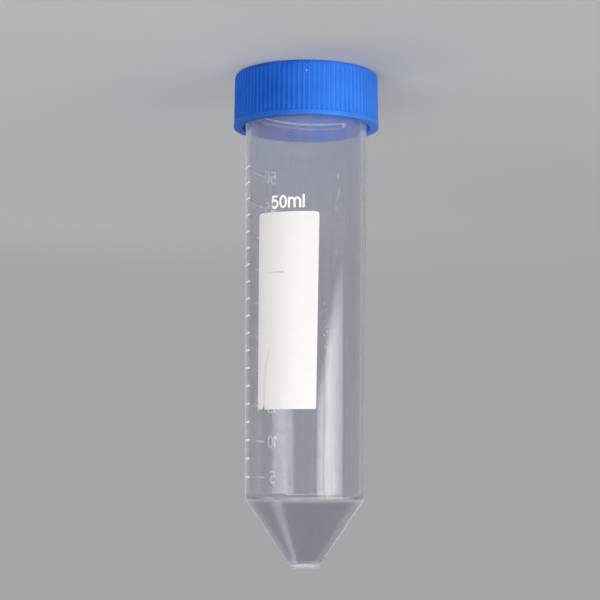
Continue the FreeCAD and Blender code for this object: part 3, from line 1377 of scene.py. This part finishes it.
@dataclass
class InkLayer:
    """Flat shapes of ink wrapped round the tube's wall as a thin raised film.

    A shape is drawn with its first number along the reading direction and its second one up.
    """

    tube: TubeBody
    name: str
    finish: bpy.types.Material
    sunk: float = 0.02 * MM
    proud: float = 0.03 * MM
    strip: float = 0.35 * MM
    closeness: float = 1e-8

    def __post_init__(self) -> None:
        """Start with an empty film."""
        self.draft = Draft()

    def add(self, outlines: Sequence[Sequence[Flat]], lay: Callable[[Flat], Flat]) -> None:
        """Lay overlapping outlines on the wall as one film.

        Args:
            outlines: Closed outlines, in metres.
            lay: Gives the turn and the level of a flat point.
        """
        points = [Vector(point) for outline in outlines for point in outline]
        faces, edges, start = [], [], 0
        for outline in outlines:
            faces.append(list(range(start, start + len(outline))))
            start += len(outline)
        left, right = min(point.x for point in points), max(point.x for point in points)
        low, high = min(point.y for point in points), max(point.y for point in points)
        for cut in range(1, math.ceil((right - left) / self.strip)):
            x = left + cut * self.strip
            points += [Vector((x, low - MM)), Vector((x, high + MM))]
            edges.append((len(points) - 2, len(points) - 1))
        flat, _, cells, _, _, owners = delaunay_2d_cdt(points, edges, faces, 0, self.closeness)
        kept = [cell for cell, owner in zip(cells, owners) if owner]
        self.raise_film(flat, kept, lay)

    def raise_film(
        self, flat: Sequence[Vector], cells: Sequence[Sequence[int]], lay: Callable[[Flat], Flat]
    ) -> None:
        """Turn flat cells into a closed film.

        Args:
            flat: The flat points.
            cells: The points' numbers in each cell.
            lay: Gives the turn and the level of a flat point.
        """
        layers = []
        for lift in (-self.sunk, self.proud):
            numbers = {}
            for corner in {corner for cell in cells for corner in cell}:
                turn, level = lay(tuple(flat[corner]))
                place = around(turn, self.tube.radius(level) + lift, level)
                numbers[corner] = self.draft.point(place)
            layers.append(numbers)
        under, over = layers
        sides = set()
        for cell in cells:
            self.draft.face(*(under[corner] for corner in cell))
            self.draft.face(*(over[corner] for corner in reversed(cell)))
            sides |= {(cell[index - 1], cell[index]) for index in range(len(cell))}
        for first, second in sides:
            if (second, first) not in sides:
                self.draft.face(under[second], under[first], over[first], over[second])

    def build(self) -> bpy.types.Object:
        """Make the film's piece."""
        return self.draft.build(self.name, "tube", Plastic.PRINT, self.finish)


@dataclass
class WallPrint:
    """The white print: a writing patch, its title, the scale lines and their numerals."""

    tube: TubeBody
    patch_ink: InkFinish = InkFinish(
        "patch_ink", (0.905, 0.874, 0.856), 0.20, worn=(0.65, 0.64, 0.64), marks=PatchMarks()
    )
    scale_ink: InkFinish = InkFinish("scale_ink", (0.97, 0.965, 0.955), 0.02)
    patch_levels: Flat = (36.15 * MM, 83.0 * MM)
    patch_left: Flat = (-49.0, -50.5)
    patch_right: Flat = (12.5, 10.0)
    patch_rounds: Flat = (0.85 * MM, 0.45 * MM)
    patch_strip: float = 0.02
    slit_turn: float = -42.6
    slit_width: float = 0.34 * MM
    slit_height: float = 1.3 * MM
    digit_size: Flat = (1.94 * MM, 3.16 * MM)
    title_turn: float = -33.9
    title_level: float = 35.3 * MM
    lean: float = -56.6
    title_stroke: Flat = (0.47 * MM, 0.25 * MM)
    numeral_stroke: Flat = (0.45 * MM, 0.19 * MM)
    least_volume: float = 5.0
    full_volume: float = 50.0
    volume_step: float = 2.5
    first_mark: float = 23.7 * MM
    mark_step: float = 1.5694 * MM
    mark_spread: float = 0.002216 * MM
    line_start: float = -67.0
    long_end: float = -128.1
    short_end: float = -102.3
    line_width: float = 0.50 * MM
    numeral_turn: float = -140.1

    def mark_level(self, volume: float) -> float:
        """Level of the mark for a volume in millilitres; the marks spread slowly towards the cone."""
        below = self.full_volume - volume
        return self.first_mark + self.mark_step * below + self.mark_spread * below**2

    def leaned(self, turn: float, level: float) -> float:
        """Shift a turn by the lean of the printed scale, which is straight on the first mark."""
        return turn + self.lean * (level - self.first_mark)

    def lay_text(self, turn: float, level: float) -> Callable[[Flat], Flat]:
        """Lay flat points from a turn at their left and a level at their foot."""
        radius = self.tube.radius(level)
        return lambda point: (turn + math.degrees(point[0] / radius), level - point[1])

    def text(self, words: str, stroke: Flat) -> tuple[list[list[list[Flat]]], float]:
        """Draw characters side by side.

        Args:
            words: The characters.
            stroke: Width of the strokes, and the space between two characters.

        Returns:
            The outlines of each character, and the whole width.
        """
        width, gap = stroke
        drawn = []
        left = 0.0
        for character in words:
            share, strokes = STROKES[character]
            across = (self.digit_size[0] - width) * share
            up = self.digit_size[1] - width
            outlines = []
            for path in strokes:
                placed = [(left + width / 2 + x * across, width / 2 + y * up) for x, y in path]
                outlines.append(stroke_outline(placed, width))
            drawn.append(outlines)
            left += across + width + gap
        return drawn, left - gap

    def patch_outline(self) -> list[Flat]:
        """Outline the writing patch, with the slit at its foot.

        Returns:
            A closed outline in shares of the patch's width and height.
        """
        height = self.patch_levels[1] - self.patch_levels[0]
        turn = math.radians(self.patch_right[0] - self.patch_left[0])
        width = turn * self.tube.radius(self.patch_levels[0])
        outline = []
        for x, y, start in ((1.0, 0.0, 270), (1.0, 1.0, 0), (0.0, 1.0, 90), (0.0, 0.0, 180)):
            corner = self.patch_rounds[0] if y else self.patch_rounds[1]
            across, up = corner / width, corner / height
            centre = (x - math.copysign(across, x - 0.5), y - math.copysign(up, y - 0.5))
            outline += bow(centre, (across, up), start, start + 90, 6)
        middle = (self.slit_turn - self.patch_left[1]) / (self.patch_right[1] - self.patch_left[1])
        half = self.slit_width / width
        left_end = bow((middle - half * 2.2, up * 1.5), (half * 1.5, up * 1.5), 225, 345, 6)
        slit = [(middle, self.slit_height / height), (middle + half * 0.7, up * 1.3), (middle + half, 0.0)]
        return outline + left_end + slit

    def lay_patch(self, point: Flat) -> Flat:
        """Lay a point of the patch on the wall.

        Args:
            point: Shares of the patch's width and height.

        Returns:
            The point's turn and level.
        """
        x, y = point
        left = mixed(self.patch_left[1], self.patch_left[0], y)
        right = mixed(self.patch_right[1], self.patch_right[0], y)
        return mixed(left, right, x), mixed(self.patch_levels[1], self.patch_levels[0], y)

    def build(self) -> list[bpy.types.Object]:
        """Print all four layers on the wall.

        Returns:
            Their pieces.
        """
        patch_ink, ink = self.patch_ink.material(), self.scale_ink.material()
        patch = InkLayer(self.tube, "writing_patch", patch_ink, strip=self.patch_strip)
        patch.add([self.patch_outline()], self.lay_patch)

        title = InkLayer(self.tube, "volume_title", ink)
        drawn, _ = self.text("50ml", self.title_stroke)
        for outlines in drawn:
            title.add(outlines, self.lay_text(self.title_turn, self.title_level))

        lines = InkLayer(self.tube, "scale_lines", ink)
        numerals = InkLayer(self.tube, "scale_numerals", ink)
        first, last = (round(end / self.volume_step) for end in (self.least_volume, self.full_volume))
        for count in range(first, last + 1):
            volume = count * self.volume_step
            level = self.mark_level(volume)
            radius = self.tube.radius(level)
            whole = count % 2 == 0
            end = self.leaned(self.long_end if whole else self.short_end, level)
            length = math.radians(self.line_start - end) * radius
            line = stroke_outline([(0.0, 0.0), (length, 0.0)], self.line_width)
            lines.add([line], self.lay_text(end, level))
            if whole:
                drawn, width = self.text(f"{volume:.0f}", self.numeral_stroke)
                start = self.leaned(self.numeral_turn, level) - math.degrees(width / 2 / radius)
                foot = level + self.digit_size[1] / 2
                for outlines in drawn:
                    numerals.add(outlines, self.lay_text(start, foot))
        return [layer.build() for layer in (patch, title, lines, numerals)]


# ---------------------------------------------------------------- the studio


@dataclass(frozen=True)
class Softbox:
    """One soft lamp: the middle of its face, the face's width and height, and how bright it is.

    It looks at the part, or away from the direction given, and may be tilted in its own plane. Its
    fades are the shares of its face over which its left, right, lower and upper edges fade, and its
    ends are how bright it is at the left and the right. A flood lamp lights matt surfaces only.
    """

    name: str
    place: Place
    size: Flat
    radiance: float
    away: "Place | None" = None
    tilt: float = 0.0
    fades: tuple[float, float, float, float] = (0.0, 0.0, 0.0, 0.0)
    ends: Flat = (1.0, 1.0)
    flood: bool = False
    colour: Colour = (1.0, 1.0, 1.0)
    aim: Place = (0.0, 0.0, 60.0 * MM)

    def shade(self, lamp: bpy.types.Light) -> None:
        """Fade the lamp's face towards its edges.

        Args:
            lamp: The lamp.
        """
        shader = Shader(lamp)
        face = shader.add("ShaderNodeNewGeometry", {}, {}, "Parametric")
        across, up = shader.axis(face, "X"), shader.axis(face, "Y")
        strength = across * (self.ends[1] - self.ends[0]) + self.ends[0]
        for inward, fade in zip((across, 1 - across, up, 1 - up), self.fades):
            if fade:
                strength = inward.rise(0.0, fade) * strength
        colour = shader.blend(strength, (0.0, 0.0, 0.0), (1.0, 1.0, 1.0))
        glow = shader.add("ShaderNodeEmission", {}, {"Color": colour, "Strength": 1.0})
        shader.add("ShaderNodeOutputLight", {}, {"Surface": glow})

    def build(self) -> None:
        """Hang the lamp where only reflections and surfaces see it."""
        place = Vector(self.place)
        away = (Vector(self.away) if self.away else place - Vector(self.aim)).normalized()
        across = Vector((0.0, 0.0, 1.0)).cross(away).normalized()
        across.rotate(Matrix.Rotation(self.tilt, 3, away))
        lamp = bpy.data.lights.new(self.name, "AREA")
        lamp.shape = "RECTANGLE"
        lamp.size, lamp.size_y = self.size
        lamp.color = self.colour
        lamp.energy = self.radiance * math.pi * self.size[0] * self.size[1]
        rig = linked(self.name, lamp)
        axes = Matrix((across, away.cross(across), away)).transposed()
        rig.matrix_world = Matrix.Translation(place) @ axes.to_4x4()
        rig.visible_camera = False
        rig.visible_glossy = rig.visible_transmission = not self.flood
        if any(self.fades) or self.ends != (1.0, 1.0):
            self.shade(lamp)


@dataclass
class Studio:
    """The camera, the lamps and the pale floor."""

    background: Colour = (0.375, 0.379, 0.388)
    room: Colour = (0.15, 0.15, 0.16)
    eye: Place = (1.336 * MM, -430.4 * MM, 101.45 * MM)
    pitch: float = 0.1057
    roll: float = 0.0041
    lens: float = 106.49
    sensor: float = 36.0
    clip: Flat = (0.01, 50.0)
    floor_size: float = 24.0
    softboxes: Sequence[Softbox] = (
        Softbox(
            "near_panel", (-0.40, -0.3597, 0.1152), (0.535, 0.22), 10.8, (-1.0, 0.0, 0.0), 0.064,
            (0.02, 0.45, 0.16, 0.0), (0.22, 1.0), colour=(1.0, 0.985, 0.955),
        ),
        Softbox(
            "far_panel", (-0.40, -0.76, 0.173), (0.68, 0.30), 5.4, (-1.0, 0.0, 0.0), 0.0,
            (0.18, 0.75, 0.10, 0.0),
        ),
        Softbox("front_key", (0.31, -0.82, 0.31), (0.60, 0.30), 10.0),
        Softbox("back_fill", (0.30, 0.80, 0.60), (1.20, 0.60), 2.2, flood=True),
        Softbox(
            "top_strip", (0.55, -0.10, 0.90), (0.90, 0.22), 2.0, None, 0.0, (0.0, 0.0, 0.5, 0.5),
        ),
    )

    def aim_camera(self) -> None:
        """Stand the camera in front of the print, looking a little down, with the cap side up."""
        data = bpy.data.cameras.new("view")
        data.sensor_fit = "HORIZONTAL"
        data.sensor_width = self.sensor
        data.lens = self.lens
        data.clip_start, data.clip_end = self.clip
        camera = linked("view", data)
        down, over = math.sin(self.pitch), math.cos(self.pitch)
        lean, straight = math.sin(self.roll), math.cos(self.roll)
        right = Vector((-straight, -lean * down, -lean * over))
        up = Vector((lean, -straight * down, -straight * over))
        ahead = Vector((0.0, over, -down))
        axes = Matrix((right, up, -ahead)).transposed()
        camera.matrix_world = Matrix.Translation(self.eye) @ axes.to_4x4()
        bpy.context.scene.camera = camera

    def light_world(self) -> None:
        """Fill the room with the background's pale light."""
        world = bpy.data.worlds.new("pale_room")
        shader = Shader(world)
        room, backdrop = (
            shader.add("ShaderNodeBackground", {}, {"Color": (*colour, 1.0), "Strength": 1.0})
            for colour in (self.room, self.background)
        )
        surface = shader.mix_shaders(shader.seen(), room, backdrop)
        shader.add("ShaderNodeOutputWorld", {}, {"Surface": surface})
        bpy.context.scene.world = world

    def lay_floor(self) -> None:
        """Lay the floor under the cap."""
        mesh = bpy.data.meshes.new("floor")
        half = self.floor_size / 2
        corners = [(-half, -half, 0.0), (half, -half, 0.0), (half, half, 0.0), (-half, half, 0.0)]
        mesh.from_pydata(corners, [], [(0, 1, 2, 3)])
        mesh.materials.append(FloorFinish(self.background).material())
        linked("floor", mesh)

    def build(self) -> None:
        """Set up the whole studio."""
        self.aim_camera()
        self.light_world()
        self.lay_floor()
        for softbox in self.softboxes:
            softbox.build()
        scene = bpy.context.scene
        scene.view_settings.view_transform = "Standard"
        scene.cycles.caustics_refractive = False
        scene.cycles.caustics_reflective = False
        scene.cycles.transparent_max_bounces = 24


def main() -> None:
    """Build the studio and every piece, and report each one."""
    logging.basicConfig(level=logging.INFO, format="%(name)s: %(message)s")
    Studio().build()
    tube = TubeBody.from_frame()
    tube.build(MilkyFinish(tube).material())
    cap = ScrewCap.from_frame(tube)
    cap.build(CapFinish().material())
    # painted highlight: the pointer's paler blue stands in for its glint
    cap.build_pointer(CapFinish("glint_painted_polyethylene", (0.22, 0.42, 0.85), (0.45, 0.62, 0.95)).material())
    WallPrint(tube).build()


if __name__ == "__main__":
    main()
